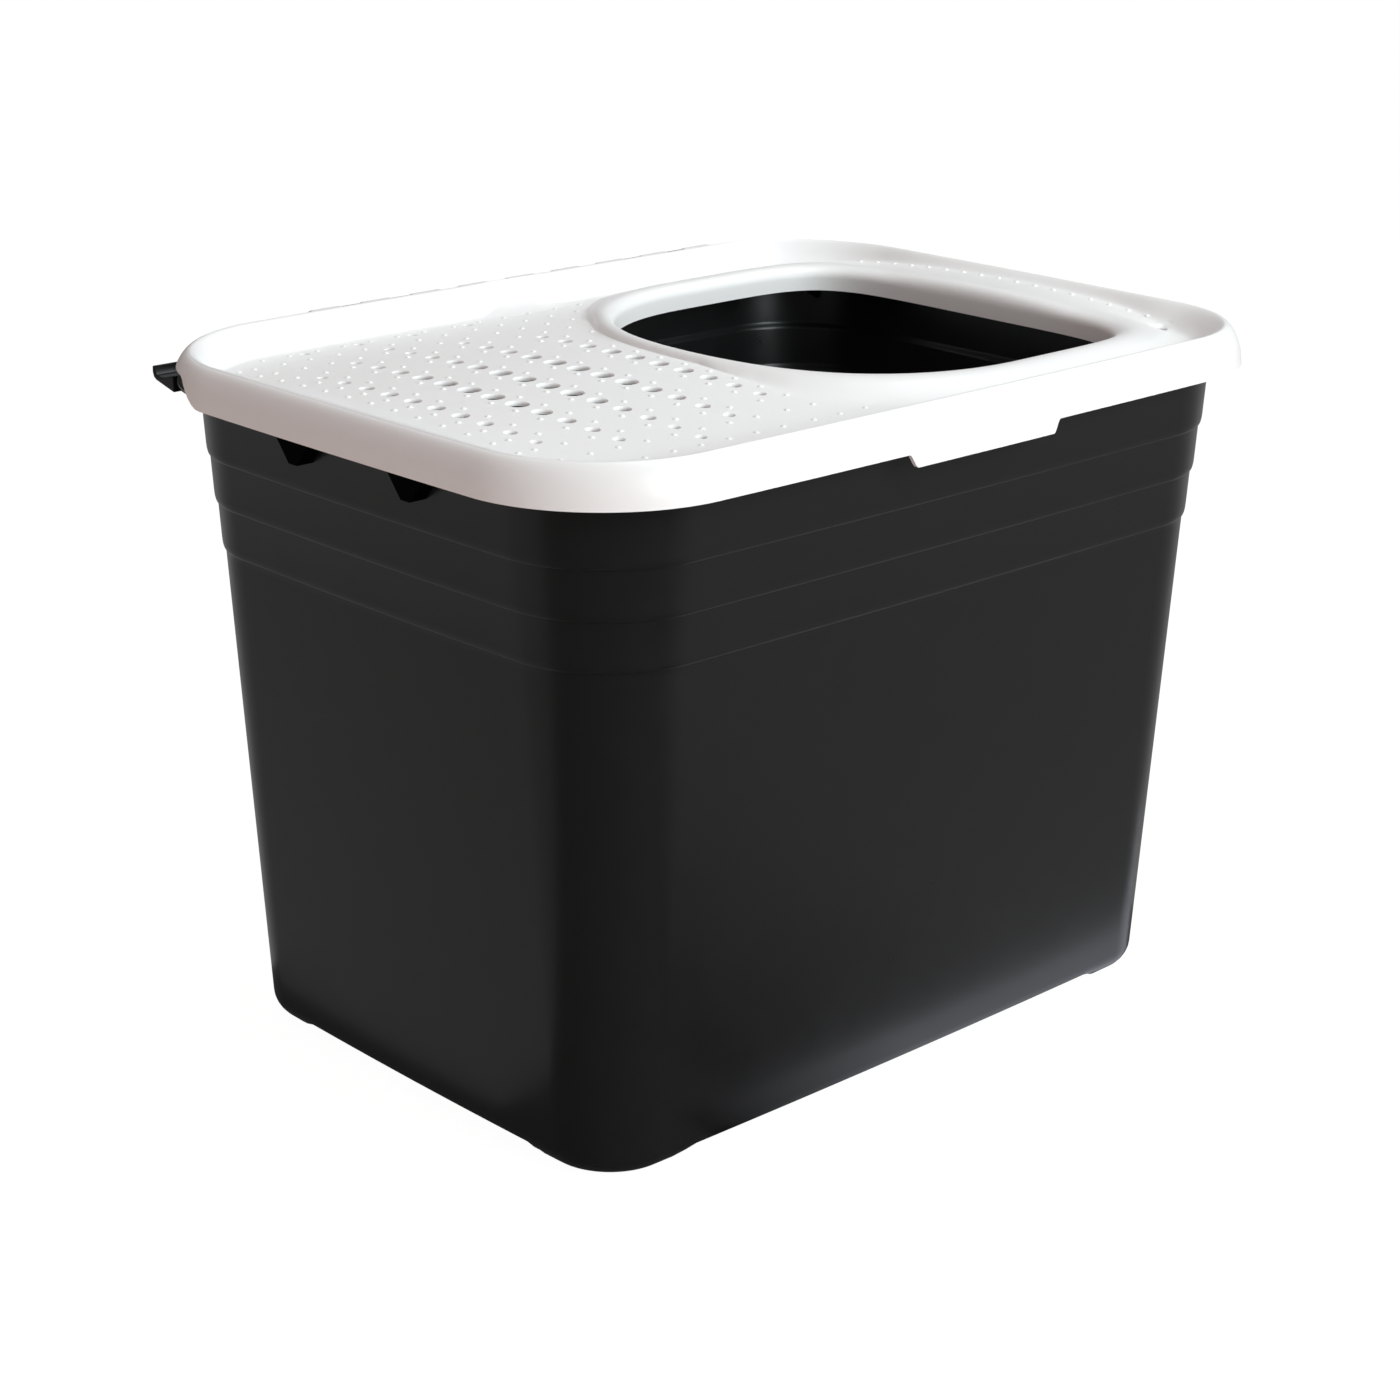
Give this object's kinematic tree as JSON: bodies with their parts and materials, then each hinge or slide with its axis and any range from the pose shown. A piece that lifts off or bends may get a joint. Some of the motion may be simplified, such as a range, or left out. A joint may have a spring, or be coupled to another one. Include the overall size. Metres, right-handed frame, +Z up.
{
  "type": "top entry cat litter box",
  "caption": "Deep black plastic litter tub with a white hinged lid that has a perforated tread deck and a rounded entry opening in its top.",
  "frame": {"origin": "on the floor, below the middle of the box's bounding box", "axes": "+X along the long side towards the entry opening, +Y towards the hinge side, +Z up"},
  "size_m": [0.5456, 0.4084, 0.397],
  "materials": {
    "tub_plastic": "black polypropylene, satin moulded",
    "lid_plastic": "white polypropylene, satin to semi gloss",
    "rod_plastic": "black plastic rod and caps",
    "pad_rubber": "matte black anti-slip rubber"
  },
  "bodies": {
    "tub": {"litter_tub": "tub_plastic", "hinge_rod": "rod_plastic", "rod_cap_left": "rod_plastic", "rod_cap_right": "rod_plastic", "foot_pad_front_left": "pad_rubber", "foot_pad_front_right": "pad_rubber", "foot_pad_rear_left": "pad_rubber", "foot_pad_rear_right": "pad_rubber"},
    "lid": {"lid": "lid_plastic"}
  },
  "joints": [
    {"name": "lid_hinge", "type": "hinge", "parent": "tub", "child": "lid", "pos_m": [0, 0.19865, 0.39], "axis": [-1, 0, 0], "range_deg": [0, 100]}
  ]
}
